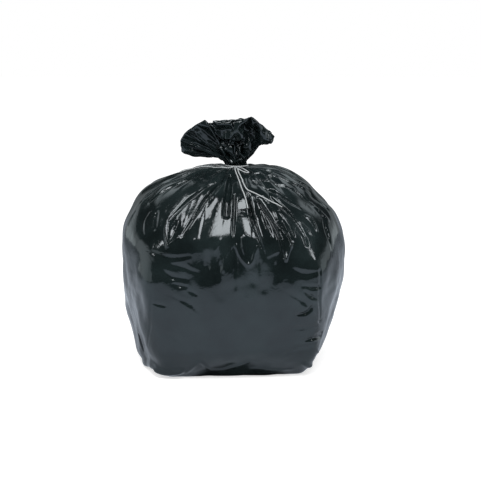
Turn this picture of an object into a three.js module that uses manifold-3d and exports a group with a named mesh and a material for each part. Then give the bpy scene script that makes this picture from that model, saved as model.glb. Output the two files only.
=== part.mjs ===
// A full black refuse sack standing on its base, its mouth gathered and tied with a string in a bow.
// Millimetres, +Z up, front towards -Y. The origin is on the floor, under the middle of the sack.
import * as THREE from "three";
import { mergeVertices } from "three/addons/utils/BufferGeometryUtils.js";
import Module from "manifold-3d";

// Driving dimensions of the sack
const FLAT_WIDTH = 737; // lay-flat width of the film tube, half its girth
const BODY_HALF_WIDTH = 238; // at the widest ring
const BODY_HALF_DEPTH = 215; // at the widest ring
const SECTION_POWER = 2.5; // squareness of a level section: 2 is an ellipse
const PLEATS = 32; // folds that gather the girth into the neck
const DEEPEST_PLEAT = 0.3; // share of the local radius
const NECK_RADIUS = 22;
const NECK_X = 8; // the neck stands a little right of the middle
const NECK_Z = 428; // middle of the tied neck
const NECK_HALF_HEIGHT = 6;
const NECK_FLUTE = 0.1; // depth of the gathered pleats there, as a share of its radius

// Driving dimensions of the string
const STRING_DIAMETER = 2.5;
const STRING_SIDES = 8;
const STRING_STEP = 9; // length of one straight piece of its tube
const WRAP_STEPS = 32; // straight pieces in the turn round the neck
const CLEARANCE = 0.4; // between the string and the film
const KNOT_CENTRE = [5, -27, 426.5];
const KNOT_RADII = [5, 3, 3.6];
const KNOT_SIDES = 12;
const KNOT_ROWS = 8;

// Half widths of the filled body as shares of the widest ring, at each height.
const BODY_ROWS = [
  { z: 0, left: 0, right: 0 },
  { z: 0, left: 0.4, right: 0.4 },
  { z: 0, left: 0.75, right: 0.68 },
  { z: 5, left: 0.82, right: 0.735 },
  { z: 16, left: 0.85, right: 0.765 },
  { z: 47, left: 0.882, right: 0.815 },
  { z: 91, left: 0.924, right: 0.878 },
  { z: 134, left: 0.97, right: 0.924 },
  { z: 178, left: 0.987, right: 0.97 },
  { z: 222, left: 1, right: 1 },
  { z: 266, left: 1, right: 0.979 },
  { z: 310, left: 0.97, right: 0.933 },
  { z: 340, left: 0.92, right: 0.86 },
  { z: 365, left: 0.84, right: 0.785 },
  { z: 385, left: 0.73, right: 0.68 },
  { z: 399, left: 0.56, right: 0.53 },
  { z: 408, left: 0.4, right: 0.39 },
  { z: 415, left: 0.25, right: 0.25 },
  { z: 419, left: 0.15, right: 0.15 },
];

// The mouth's rim above the tie, counter-clockwise from the right tip as seen from above.
const RIM = [
  [89, -4, 490],
  [64, 26, 513],
  [22, 36, 530],
  [-30, 35, 521],
  [-84, 22, 500],
  [-108, 4, 460],
  [-108, -20, 486],
  [-60, -38, 526],
  [-4, -42, 523],
  [42, -34, 536],
];
const RUFFLE_ROWS = 4;
const RUFFLE_FOLD = 6; // how far every second fold of the rim stands in
const RUFFLE_FLOOR = [-4, 0, 488]; // bottom of the shallow dish inside the rim
const RUFFLE_DISH = 0.45; // share of the way from the rim to that floor

// The bow's two loops and two tails, each from the knot over the sack's shoulder.
const LEFT_LOOP = [
  [3, -28, 426],
  [-12, -26, 424.5],
  [-32, -15, 421.5],
  [-54, -8, 417],
  [-78, -4, 414.5],
  [-98, 2, 412.5],
  [-110, 9, 411.5],
  [-115, 18, 411],
  [-110, 27, 412],
  [-96, 30, 413.5],
  [-78, 28, 415],
  [-58, 23, 417],
  [-40, 14, 420],
  [-25, 0, 423.5],
  [-13, -18, 425.5],
  [2, -29, 427.5],
];
const RIGHT_LOOP = [
  [6, -28, 427],
  [17, -32, 424.5],
  [26, -39, 421],
  [33, -47, 419],
  [34, -54, 418],
  [28, -57.5, 417.5],
  [20, -50, 419],
  [13, -40, 421.5],
  [8, -29, 425.5],
];
const RIGHT_TAIL = [
  [7, -28, 425.5],
  [10, -35, 422.5],
  [12, -50, 418.5],
  [15, -72, 413.5],
  [20, -98, 406],
  [25, -122, 397.5],
  [32, -142, 391],
  [42, -152, 387.5],
  [54, -158, 383.5],
  [66, -163, 378],
  [78, -167, 372],
  [90, -170, 367],
  [100, -171.5, 362],
];
const FRONT_TAIL = [
  [4, -28, 425],
  [5, -35, 422.5],
  [7, -50, 418.5],
  [10, -72, 413.5],
  [14, -98, 406],
  [18, -122, 397.5],
  [22, -142, 390.5],
  [25, -158, 382],
  [28, -171, 372],
  [31, -182, 361],
];

const SEGMENTS = 2 * PLEATS; // one ridge and one valley a pleat
const GIRTH = 2 * FLAT_WIDTH;

// A point of a level superellipse section with its own left and right half widths.
function sectionPoint(angle, left, right, depth) {
  const round = (value) =>
    Math.sign(value) * Math.abs(value) ** (2 / SECTION_POWER);
  const across = Math.cos(angle);
  const width = across < 0 ? left : right;
  return new THREE.Vector2(width * round(across), depth * round(Math.sin(angle)));
}

// How deep each pleat has to be to take up the girth that a smaller section leaves over.
function pleatDepth(radius) {
  const spare = Math.max(0, GIRTH - (GIRTH * radius) / BODY_HALF_WIDTH);
  return Math.min(spare / (2 * PLEATS), DEEPEST_PLEAT * radius);
}

// One ring of the body. rise runs from 0 at the widest ring to 1 at the neck: the neck's sideways shift
// comes in with it, and a pleat's valley lies inwards on the upright side and downwards on the flat top.
function bodyRing(row, rise) {
  const points = [];
  const mean = (row.left + row.right) / 2;
  const depth = rise > 0 ? pleatDepth(mean * BODY_HALF_WIDTH) : 0;
  for (let i = 0; i < SEGMENTS; i++) {
    const valley = (i % 2) * depth;
    const p = sectionPoint(
      (i / SEGMENTS) * 2 * Math.PI,
      row.left * BODY_HALF_WIDTH,
      row.right * BODY_HALF_WIDTH,
      mean * BODY_HALF_DEPTH,
    );
    p.setLength(p.length() - valley * (1 - rise));
    points.push(
      new THREE.Vector3(p.x + NECK_X * rise, p.y, row.z - valley * rise),
    );
  }
  return points;
}

// A round ring of the tied neck, lightly fluted by the gathered pleats.
function neckRing(z) {
  const points = [];
  for (let i = 0; i < SEGMENTS; i++) {
    const angle = (i / SEGMENTS) * 2 * Math.PI;
    const radius = NECK_RADIUS * (1 - (i % 2) * NECK_FLUTE);
    points.push(
      new THREE.Vector3(
        NECK_X + radius * Math.cos(angle),
        radius * Math.sin(angle),
        z,
      ),
    );
  }
  return points;
}

// The rim as a closed curve, with every second point folded in.
function rimRing() {
  const curve = new THREE.CatmullRomCurve3(
    RIM.map((p) => new THREE.Vector3(...p)),
    true,
  );
  const axis = new THREE.Vector3(NECK_X, 0, 0);
  return Array.from({ length: SEGMENTS }, (_, i) => {
    const p = curve.getPoint(i / SEGMENTS);
    const inward = axis.clone().setZ(p.z).sub(p).setLength(RUFFLE_FOLD);
    return i % 2 ? p.add(inward) : p;
  });
}

function mixedRing(from, to, share) {
  return from.map((p, i) => p.clone().lerp(to[i], share));
}

// A closed skin over rings of equal length: the first and the last ring are single points.
function loftedGeometry(rings) {
  const profile = rings.map((_, j) => {
    const end = j === 0 || j === rings.length - 1;
    return new THREE.Vector2(end ? 0 : 1, j);
  });
  const geometry = new THREE.LatheGeometry(profile, SEGMENTS);
  const position = geometry.getAttribute("position");
  for (let i = 0; i <= SEGMENTS; i++)
    for (let j = 0; j < rings.length; j++) {
      const p = rings[j][i % SEGMENTS];
      position.setXYZ(i * rings.length + j, p.x, p.y, p.z);
    }
  geometry.deleteAttribute("normal");
  geometry.deleteAttribute("uv");
  return geometry;
}

function sackGeometry() {
  const widest = BODY_ROWS.findIndex((row) => row.left === 1 && row.right === 1);
  const last = BODY_ROWS.length - 1;
  const rings = BODY_ROWS.map((row, j) =>
    bodyRing(row, Math.max(0, (j - widest) / (last - widest))),
  );
  rings.push(neckRing(NECK_Z - NECK_HALF_HEIGHT));
  const neckTop = neckRing(NECK_Z + NECK_HALF_HEIGHT);
  const rim = rimRing();
  for (let k = 0; k <= RUFFLE_ROWS; k++)
    rings.push(mixedRing(neckTop, rim, k / RUFFLE_ROWS));
  const floor = rim.map(() => new THREE.Vector3(...RUFFLE_FLOOR));
  rings.push(mixedRing(rim, floor, RUFFLE_DISH));
  rings.push(floor);
  return loftedGeometry(rings);
}

const wasm = await Module();
wasm.setup();

// A closed geometry as a solid that can be joined to others.
function solidOf(geometry) {
  geometry.deleteAttribute("normal");
  geometry.deleteAttribute("uv");
  const merged = mergeVertices(geometry);
  return new wasm.Manifold(
    new wasm.Mesh({
      numProp: 3,
      vertProperties: merged.getAttribute("position").array,
      triVerts: new Uint32Array(merged.index.array),
    }),
  );
}

function geometryOf(solid) {
  const mesh = solid.getMesh();
  return new THREE.BufferGeometry()
    .setAttribute("position", new THREE.BufferAttribute(mesh.vertProperties, 3))
    .setIndex(new THREE.BufferAttribute(mesh.triVerts, 1));
}

// The string's round section, drawn with a few flat sides about a centre.
function stringSection(centreX) {
  return Array.from({ length: STRING_SIDES }, (_, i) => {
    const angle = (i / STRING_SIDES) * 2 * Math.PI;
    return new THREE.Vector2(
      centreX + (STRING_DIAMETER / 2) * Math.cos(angle),
      (STRING_DIAMETER / 2) * Math.sin(angle),
    );
  });
}

// A free stretch of the string along its route.
function stringTube(route) {
  const path = new THREE.CatmullRomCurve3(
    route.map((p) => new THREE.Vector3(...p)),
  );
  const steps = Math.ceil(path.getLength() / STRING_STEP);
  return new THREE.ExtrudeGeometry(new THREE.Shape(stringSection(0)), {
    steps,
    extrudePath: path,
  });
}

// The turn of string round the neck, a clearance off the film.
function neckTurn() {
  const section = stringSection(NECK_RADIUS + CLEARANCE + STRING_DIAMETER / 2);
  const ring = new THREE.LatheGeometry([...section, section[0]], WRAP_STEPS);
  return ring.rotateX(Math.PI / 2).translate(NECK_X, 0, NECK_Z);
}

function knotLump() {
  return new THREE.SphereGeometry(1, KNOT_SIDES, KNOT_ROWS)
    .scale(...KNOT_RADII)
    .translate(...KNOT_CENTRE);
}

// One length of string: the neck turn, the knot, and the loops and tails that leave it.
function stringGeometry() {
  const stretches = [
    knotLump(),
    ...[LEFT_LOOP, RIGHT_LOOP, RIGHT_TAIL, FRONT_TAIL].map(stringTube),
  ];
  const joined = stretches.reduce(
    (solid, stretch) => solid.add(solidOf(stretch)),
    solidOf(neckTurn()),
  );
  return geometryOf(joined);
}

const film = new THREE.MeshStandardMaterial({
  name: "black_film",
  color: 0x14181a,
  roughness: 0.25,
  metalness: 0,
});

const twine = new THREE.MeshStandardMaterial({
  name: "pale_string",
  color: 0xb4babd,
  roughness: 0.45,
  metalness: 0,
});

const sack = new THREE.Mesh(sackGeometry(), film);
sack.name = "sack";

const tie = new THREE.Mesh(stringGeometry(), twine);
tie.name = "tie_string";

const part = new THREE.Group();
part.name = "full_refuse_sack";
part.add(sack, tie);

export default part;
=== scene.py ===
"""A full black refuse sack, tied at the neck with a string in a bow, on a white studio floor."""

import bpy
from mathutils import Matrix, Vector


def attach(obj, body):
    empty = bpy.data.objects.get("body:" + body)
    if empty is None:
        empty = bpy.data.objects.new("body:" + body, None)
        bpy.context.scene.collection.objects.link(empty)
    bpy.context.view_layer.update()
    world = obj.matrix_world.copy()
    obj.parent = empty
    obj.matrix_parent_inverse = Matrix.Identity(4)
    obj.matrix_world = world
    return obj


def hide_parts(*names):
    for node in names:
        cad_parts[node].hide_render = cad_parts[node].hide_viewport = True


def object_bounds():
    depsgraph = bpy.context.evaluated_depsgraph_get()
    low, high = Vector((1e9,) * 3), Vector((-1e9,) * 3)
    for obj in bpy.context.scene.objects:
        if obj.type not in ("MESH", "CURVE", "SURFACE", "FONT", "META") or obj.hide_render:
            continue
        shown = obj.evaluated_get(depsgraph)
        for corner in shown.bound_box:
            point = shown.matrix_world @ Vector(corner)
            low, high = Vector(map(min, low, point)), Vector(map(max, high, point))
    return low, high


bl_info = {
    "name": "Full refuse sack",
    "version": (1, 0, 0),
    "blender": (4, 5, 0),
    "location": "View3D > Sidebar > Refuse sack",
    "description": "Builds a tied, full refuse sack of thin film and its studio",
    "category": "Add Mesh",
}

import math
from collections import namedtuple

import bpy
import numpy as np
from mathutils import Vector
from mathutils.bvhtree import BVHTree

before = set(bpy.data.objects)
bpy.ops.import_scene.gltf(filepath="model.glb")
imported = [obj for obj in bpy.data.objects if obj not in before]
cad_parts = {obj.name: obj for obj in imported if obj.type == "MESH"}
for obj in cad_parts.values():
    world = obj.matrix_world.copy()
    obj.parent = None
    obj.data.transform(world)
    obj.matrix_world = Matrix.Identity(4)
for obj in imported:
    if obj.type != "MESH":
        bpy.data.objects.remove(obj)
CAD_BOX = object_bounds()

# Camera: the photograph's view, taken from its own frame of 481 by 500 pixels.
PICTURE_WIDTH = 481
PICTURE_HEIGHT = 500
CAMERA_ELEVATION = math.radians(10)
CAMERA_DISTANCE = 3.0
METRES_A_PIXEL = 0.00216
TARGET = np.array([0.0, 0.0, 0.230])
TARGET_PIXEL = (233.0, 256.4)

# Grid of the film: columns run round the girth from the middle of the back, rows run up from
# the base's edge.
COLUMNS = 576
FRONT_CROWDING = 0.35
ROW_SPACING = 0.0021
NECK_ROWS = 4
MOUTH_ROWS = 38
BASE_ROWS = 9
TINY = 1e-9

# The film's lowest height over the floor, half the height of the tied neck, and the film's
# thickness at the mouth.
FLOOR_GAP = 0.0006
TIE_HALF = 0.006
FILM_GAP = 0.0005

# Seeds of the body's folds and waves, and of the mouth's waves before and after it settles.
BODY_SEED = 11
MOUTH_SEED = 5
CRUMPLE_SEED = 8

# Height of a level ring of the filled body, and its left and right half widths as shares of
# the widest ring.
BODY_ROWS = np.array([
    (0.000, 0.770, 0.690),
    (0.005, 0.815, 0.720),
    (0.016, 0.855, 0.755),
    (0.047, 0.890, 0.828),
    (0.091, 0.930, 0.892),
    (0.134, 0.972, 0.938),
    (0.178, 0.992, 0.992),
    (0.222, 1.000, 1.000),
    (0.266, 1.000, 0.992),
    (0.301, 0.990, 0.950),
    (0.336, 0.928, 0.868),
    (0.362, 0.872, 0.748),
    (0.388, 0.764, 0.660),
    (0.406, 0.592, 0.558),
    (0.418, 0.435, 0.455),
    (0.425, 0.330, 0.345),
    (0.427, 0.230, 0.230),
    (0.425, 0.130, 0.130),
])
WIDEST_Z = 0.222

# Faces of the boxy lower rings, front, back and slanted sides, each as its share of the way
# across and along.
RING_FACES = ((0.0, -1.0), (0.0, 1.0), (-1.0, -0.217), (0.996, -0.194), (-0.935, 0.24), (0.935, 0.24))
CORNER_POWER = 26

# Where the grooves between the front's pleats cross the shoulder, left to right, which way each
# pleat lies over, 1 where its broad face is left of its ridge and -1 where it is right of it, the
# height where it ends and its depth.
FRONT_GROOVES = (
    (-0.178, 1, 0.265, 0.010), (-0.136, 1, 0.255, 0.010), (-0.094, 1, 0.265, 0.013),
    (-0.058, 1, 0.260, 0.013), (-0.020, -1, 0.290, 0.011), (0.006, 1, 0.215, 0.014),
    (0.040, -1, 0.225, 0.013), (0.066, 1, 0.250, 0.011), (0.090, -1, 0.225, 0.012),
    (0.138, -1, 0.260, 0.010), (0.174, -1, 0.240, 0.010),
)
BACK_GROOVES = 12
SHOULDER_Z = 0.34

# A fold runs along a line of picture pixels. Half width and depth are in millimetres at its
# start, middle and end, a negative depth being a ridge, and its lip is the height of the sharp
# rim on both sides.
Fold = namedtuple("Fold", "line width depth lip")
CHANNELS = (
    Fold(((230, 174), (228, 192), (226.5, 208), (226.5, 215)), (3, 8.5, 8.5), (5, 8, 7), 0.6),
    Fold(((235, 176), (234.5, 200), (233.5, 225), (232.5, 250)), (2, 3.2, 3), (4, 8, 3), 0.3),
    Fold(((224, 177), (210, 192), (199, 208), (190, 224), (182, 238)), (2, 4.5, 2), (4, 8, 3), 0.5),
    Fold(((216, 181), (199, 191), (186, 202), (176, 213), (169.5, 221)), (2, 4.5, 2.5), (4, 7, 3), 0.4),
    Fold(((178, 224), (175, 231), (172, 238)), (6, 9, 5), (2, 4, 2), 0.0),
    Fold(((158, 214), (156, 221), (155, 228)), (8, 10, 9), (3, 4, 3), 0.3),
    Fold(((214, 170), (190, 177), (172, 186), (158, 196), (150, 203)), (2, 4, 3), (3, 5, 2), 0.3),
    Fold(((212, 167), (188, 175), (165, 184), (148, 195), (137, 208)), (2, 4, 3), (3, 5, 2), 0.3),
    Fold(((205, 167), (175, 176), (155, 187), (142, 198)), (2, 4, 3), (3, 4, 2), 0.3),
    Fold(((243, 180), (249, 200), (253, 220), (260, 241), (265, 257)), (2, 5, 3), (4, 8, 3), 0.3),
    Fold(((262, 212), (267, 224), (272.5, 238)), (1.5, 3.5, 1.5), (2, 5, 2), 0.5),
    Fold(((283, 222), (289, 233), (292, 241)), (2, 4, 3), (2, 4, 3), 0.2),
    Fold(((321, 214), (326, 232), (331, 256)), (3, 5, 2), (3, 5, 2), 0.3),
    Fold(((250, 178), (268, 188), (285, 199), (300, 209)), (2, 4.5, 2), (4, 7, 2), 0.4),
    Fold(((252, 174), (275, 182), (297, 192), (314, 207)), (2, 4, 2), (4, 6, 2), 0.4),
    Fold(((254, 171), (280, 177), (303, 188), (318, 201), (330, 217)), (2, 4, 2), (4, 5, 2), 0.3),
    Fold(((256, 168), (285, 173), (310, 188), (325, 204)), (2, 4, 2), (3, 4, 2), 0.3),
    Fold(((248, 184), (262, 206), (272, 222), (279, 238), (284, 258)), (2, 4, 3), (4, 7, 3), 0.4),
    Fold(((252, 182), (275, 202), (291, 216), (301, 230), (307, 245)), (2, 4, 3), (3, 6, 3), 0.4),
    Fold(((226, 172), (219, 186), (212, 200)), (2, 3, 2), (3, 6, 2), 0.4),
    Fold(((238, 176), (243, 190), (250, 206), (256, 222)), (2, 3, 2), (3, 6, 2), 0.4),
    Fold(((260, 244), (259, 260), (260, 281)), (3, 5, 4), (1, 3, 0), 0.0),
    Fold(((207, 250), (207, 264), (207, 284)), (5, 8, 6), (0, 3.5, 0), 0.0),
    Fold(((219, 250), (219, 264), (219, 282)), (4, 7, 5), (0, 3, 0), 0.0),
    Fold(((236, 250), (236, 268), (236, 292)), (4, 8, 6), (1, 4, 0), 0.0),
    Fold(((278, 250), (278, 264), (278, 281)), (6, 9, 7), (0, 3, 0), 0.0),
)
RIDGES = (
    Fold(((170, 217), (167, 224), (166, 234), (168, 246)), (4.1, 4.7, 4.1), (-2.8, -4.2, -2.8), 0.0),
    Fold(((168, 247), (174, 241), (182, 238)), (4.1, 4.1, 4.1), (-2.8, -3.5, -2.8), 0.0),
    Fold(((151, 213), (146.5, 220), (146, 233)), (4.1, 4.7, 4.1), (-2.8, -4.2, -2.8), 0.0),
    Fold(((136, 212), (131, 220), (128, 226)), (4.1, 5.4, 4.1), (-2.8, -4.2, -2.8), 0.0),
    Fold(((236, 245), (240, 255), (245, 262), (249, 264.5), (252, 262), (254, 254), (257, 247)),
         (4.1, 4.7, 4.1), (-3.2, -5.2, -3.2), 0.0),
    Fold(((242.5, 237), (243.5, 249), (246, 259)), (3.4, 4.1, 3.4), (-3.2, -4.2, -2.1), 0.0),
    Fold(((276, 225), (281, 241), (286, 260)), (4.1, 4.1, 4.1), (-3.2, -5.2, -4.2), 0.0),
    Fold(((277, 226), (285, 235), (291, 246)), (4.1, 4.1, 4.1), (-3.2, -5.2, -5.2), 0.0),
    Fold(((291, 246), (288, 254), (286, 260)), (4.1, 4.1, 4.1), (-5.2, -5.2, -4.2), 0.0),
    Fold(((280, 214), (287, 223), (293, 237)), (4.1, 5.4, 4.1), (-1.4, -4.2, -2.8), 0.0),
    Fold(((304, 216), (311, 220.5), (317, 231)), (4.1, 5.4, 4.1), (-1.4, -4.2, -2.8), 0.0),
    Fold(((301, 222), (306, 228), (313, 235)), (3.4, 4.1, 3.4), (-2.1, -2.8, -2.1), 0.0),
    Fold(((300, 224), (304, 232), (308, 239)), (3.4, 4.1, 3.4), (-1.4, -2.1, -1.4), 0.0),
    Fold(((311, 203), (317, 210), (327, 221)), (4.1, 8.1, 4.1), (-1.4, -5.6, -2.8), 0.0),
    Fold(((267, 256.5), (273, 253.5), (278, 251.5)), (3.4, 4.1, 3.4), (-2.1, -2.8, -2.1), 0.0),
    Fold(((233, 245), (226, 255), (223, 271)), (3.4, 4.1, 3.4), (-2.1, -2.8, -2.1), 0.0),
    Fold(((231, 248), (229, 262)), (3.4, 3.4, 3.4), (-1.4, -2.1, -1.4), 0.0),
    Fold(((221, 258), (217, 270)), (3.4, 3.4, 3.4), (-1.4, -2.1, -1.4), 0.0),
    Fold(((194, 239), (189, 248)), (3.4, 3.4, 3.4), (-1.4, -2.1, -1.4), 0.0),
    Fold(((221, 240), (215, 251)), (3.4, 3.4, 3.4), (-1.4, -2.1, -1.4), 0.0),
)
CREASES = (
    Fold(((152, 252), (168, 258), (190, 256)), (4, 8, 4), (0.5, 2.5, 0.5), 0.0),
    Fold(((160, 262), (178, 266), (200, 274)), (4, 7, 4), (0.5, 2, 0.5), 0.0),
    Fold(((172, 296), (190, 304), (206, 318)), (4, 7, 4), (0.5, 2, 0.5), 0.0),
    Fold(((158, 330), (175, 338), (190, 352)), (4, 8, 4), (0.5, 2, 0.5), 0.0),
    Fold(((290, 268), (304, 274), (320, 272)), (4.8, 8.4, 4.8), (0.8, 3.8, 0.8), 0.0),
    Fold(((288, 292), (302, 300), (316, 312)), (4.8, 7.2, 4.8), (0.8, 3.8, 1.5), 0.0),
    Fold(((284, 330), (298, 328), (316, 326)), (4.8, 8.4, 4.8), (0.8, 3.8, 1.5), 0.0),
    Fold(((280, 356), (296, 348), (312, 344)), (4, 7, 4), (0.5, 2.5, 1), 0.0),
    Fold(((163, 271), (172, 277), (186, 279)), (4, 8, 4), (1, 3.5, 1), 0.0),
    Fold(((174, 284), (180, 286), (187, 287)), (3, 4.5, 3), (1.8, 3.6, 1.8), 0.0),
    Fold(((187, 290), (198, 295)), (3, 3.8, 3), (0.9, 2.7, 0.9), 0.0),
    Fold(((153, 302.5), (160, 304.5), (168, 306)), (2.2, 3.3, 2.2), (1.8, 3.6, 0.9), 0.0),
    Fold(((154, 275), (152, 300), (151, 325), (149.5, 346)), (2.4, 3, 2.4), (1.1, 2.2, 1.4), 0.8),
    Fold(((140, 335), (144, 349)), (5.4, 7.2, 5.4), (5.4, 10.8, 5.4), 0.0),
    Fold(((319.5, 270), (320, 295), (319.5, 318)), (3.2, 4.0, 3.2), (2.1, 4.1, 2.1), 0.8),
    Fold(((303, 286), (311, 287), (320, 287)), (2.6, 5.4, 4.6), (1.4, 4.0, 3.5), 0.0),
    Fold(((305, 291), (311, 296), (318, 299)), (2.6, 4.0, 3.6), (2.7, 6.8, 4.1), 0.0),
    Fold(((296, 314), (305, 313), (313, 306)), (2.6, 4.3, 3.2), (2.7, 6.8, 4.1), 0.0),
    Fold(((311, 318), (320, 321)), (2.6, 3.6, 3.2), (2.7, 5.4, 4.1), 0.0),
    Fold(((315, 334), (321, 332)), (2.6, 3.6, 3.2), (2.7, 5.4, 4.1), 0.0),
    Fold(((304, 340), (313, 338), (320, 336)), (2.6, 4.7, 4.0), (2.7, 8.1, 5.4), 0.0),
)
HEM = (
    Fold(((186, 372), (194, 365), (200, 361), (206, 365), (211, 369)), (3, 4, 3), (-2.8, -7, -2.8), 0.0),
    Fold(((211, 369), (222, 368.5), (232, 366), (242, 363), (249, 361)), (3, 4, 3), (-4.2, -7, -4.2), 0.0),
    Fold(((249, 368), (262, 367), (275, 368), (292, 368.5)), (3, 4, 3), (-2.8, -5.6, -2.8), 0.0),
    Fold(((145, 362), (160, 368), (180, 370)), (12, 18, 12), (-8.4, -16.8, -8.4), 0.0),
    Fold(((303, 362), (309, 364), (313, 364)), (6, 8, 6), (-4.2, -7, -4.2), 0.0),
    Fold(((311, 346), (316, 351), (319, 353)), (3, 4, 3), (-2.8, -5.6, -2.8), 0.0),
)

# The mouth's cut edge above the tie, from the middle of the back round by the left and the front.
RIM = np.array([
    (0.000, 0.032, 0.522), (-0.045, 0.034, 0.520), (-0.015, 0.012, 0.505), (-0.050, 0.026, 0.515),
    (-0.095, 0.020, 0.492), (-0.060, 0.012, 0.495), (-0.104, 0.010, 0.458), (-0.110, -0.006, 0.458),
    (-0.112, -0.020, 0.485), (-0.101, -0.030, 0.503), (-0.058, -0.036, 0.528), (-0.034, -0.008, 0.500),
    (-0.049, -0.038, 0.518), (-0.004, -0.042, 0.526), (-0.010, -0.004, 0.500), (0.000, -0.040, 0.522),
    (0.040, -0.034, 0.534), (0.089, -0.006, 0.490), (0.045, 0.000, 0.485), (0.084, 0.008, 0.496),
    (0.050, 0.030, 0.520), (0.020, 0.006, 0.500), (0.038, 0.034, 0.522),
])

# The string's free runs from the knot, in millimetres: two loops that come back to it and two tails.
STRING_ROUTES = {
    "left_loop": (
        (3, -28, 426), (-12, -26, 424.5), (-32, -15, 421.5), (-54, -8, 417), (-78, -4, 414.5),
        (-98, 2, 412.5), (-110, 9, 411.5), (-115, 18, 411), (-110, 27, 412), (-96, 30, 413.5),
        (-78, 28, 415), (-58, 23, 417), (-40, 14, 420), (-25, 0, 423.5), (-13, -18, 425.5),
        (2, -29, 427.5),
    ),
    "right_loop": (
        (6, -28, 427), (17, -32, 424.5), (26, -39, 421), (33, -47, 419), (34, -54, 418), (28, -57.5, 417.5),
        (20, -50, 419), (13, -40, 421.5), (8, -29, 425.5),
    ),
    "right_tail": (
        (7, -28, 425.5), (10, -35, 422.5), (12, -50, 418.5), (15, -72, 413.5), (20, -98, 406),
        (25, -122, 397.5), (32, -142, 391), (42, -152, 387.5), (54, -158, 383.5), (66, -163, 378),
        (78, -167, 372), (90, -170, 367), (100, -171.5, 362),
    ),
    "front_tail": (
        (4, -28, 425), (5, -35, 422.5), (7, -50, 418.5), (10, -72, 413.5), (14, -98, 406),
        (18, -122, 397.5), (22, -142, 390.5), (25, -158, 382), (28, -171, 372), (31, -182, 361),
    ),
}
KNOT = np.array([0.005, -0.027, 0.4265])


class SackSettings(bpy.types.PropertyGroup):
    """Sizes and colour of the film."""

    flat_width: bpy.props.FloatProperty(
        name="Flat width", description="Lay-flat width of the film tube, half its girth",
        default=0.737, unit="LENGTH",
    )
    half_width: bpy.props.FloatProperty(
        name="Half width", description="Half width of the filled body at its widest ring",
        default=(CAD_BOX[1][0] - CAD_BOX[0][0]) / 2, unit="LENGTH",
    )
    half_depth: bpy.props.FloatProperty(
        name="Half depth", description="Half depth of the filled body at its widest ring",
        default=(CAD_BOX[1][1] - CAD_BOX[0][1]) / 2, unit="LENGTH",
    )
    neck_x: bpy.props.FloatProperty(
        name="Neck offset", description="How far right of the middle the tied neck stands",
        default=0.008, unit="LENGTH",
    )
    neck_z: bpy.props.FloatProperty(
        name="Neck height", description="Height of the middle of the tied neck",
        default=0.428, unit="LENGTH",
    )
    neck_radius: bpy.props.FloatProperty(
        name="Neck radius", description="Radius of the gathered film under the tie",
        default=0.0225, unit="LENGTH",
    )
    mouth_length: bpy.props.FloatProperty(
        name="Mouth length", description="Length of film that stands above the tie",
        default=0.122, unit="LENGTH",
    )
    film_colour: bpy.props.FloatVectorProperty(
        name="Film colour", description="Colour of the film under its gloss",
        default=(0.007, 0.0115, 0.012), subtype="COLOR",
    )


class StringSettings(bpy.types.PropertyGroup):
    """Sizes and colour of the string."""

    diameter: bpy.props.FloatProperty(
        name="Diameter", description="Thickness of the string", default=0.0025, unit="LENGTH",
    )
    lay: bpy.props.FloatProperty(
        name="Lay", description="Length in which a strand goes once round the string",
        default=0.012, unit="LENGTH",
    )
    colour: bpy.props.FloatVectorProperty(
        name="String colour", description="Colour of the string's fibres",
        default=(0.46, 0.49, 0.5), subtype="COLOR",
    )


def smooth_curve(points, count, axes=3):
    """A Catmull-Rom curve through the points, sampled evenly in the chord length of the first few axes."""
    points = np.asarray(points, float)
    chord = np.concatenate(([0.0], np.cumsum(np.linalg.norm(np.diff(points[:, :axes], axis=0), axis=1))))
    slopes = np.gradient(points, chord, axis=0)
    where = np.linspace(0.0, chord[-1], count)
    span = np.clip(np.searchsorted(chord, where, side="right") - 1, 0, len(chord) - 2)
    width = chord[span + 1] - chord[span]
    t = ((where - chord[span]) / width)[:, None]
    start, end = points[span], points[span + 1]
    rise, fall = slopes[span] * width[:, None], slopes[span + 1] * width[:, None]
    return (
        (2 * t**3 - 3 * t**2 + 1) * start + (t**3 - 2 * t**2 + t) * rise
        + (3 * t**2 - 2 * t**3) * end + (t**3 - t**2) * fall
    )


def smooth_step(low, high, value):
    """0 below low, 1 above high and an S-shaped rise between them."""
    t = np.clip((value - low) / (high - low), 0.0, 1.0)
    return t * t * (3 - 2 * t)


def camera_axes():
    """The camera's place, and its right, up and forward directions."""
    forward = np.array([0.0, math.cos(CAMERA_ELEVATION), -math.sin(CAMERA_ELEVATION)])
    upward = np.array([0.0, math.sin(CAMERA_ELEVATION), math.cos(CAMERA_ELEVATION)])
    sideways = np.array([1.0, 0.0, 0.0])
    across = PICTURE_WIDTH / 2 - TARGET_PIXEL[0]
    above = TARGET_PIXEL[1] - PICTURE_HEIGHT / 2
    aim = TARGET + (sideways * across + upward * above) * METRES_A_PIXEL
    return aim - forward * CAMERA_DISTANCE, sideways, upward, forward


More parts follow.
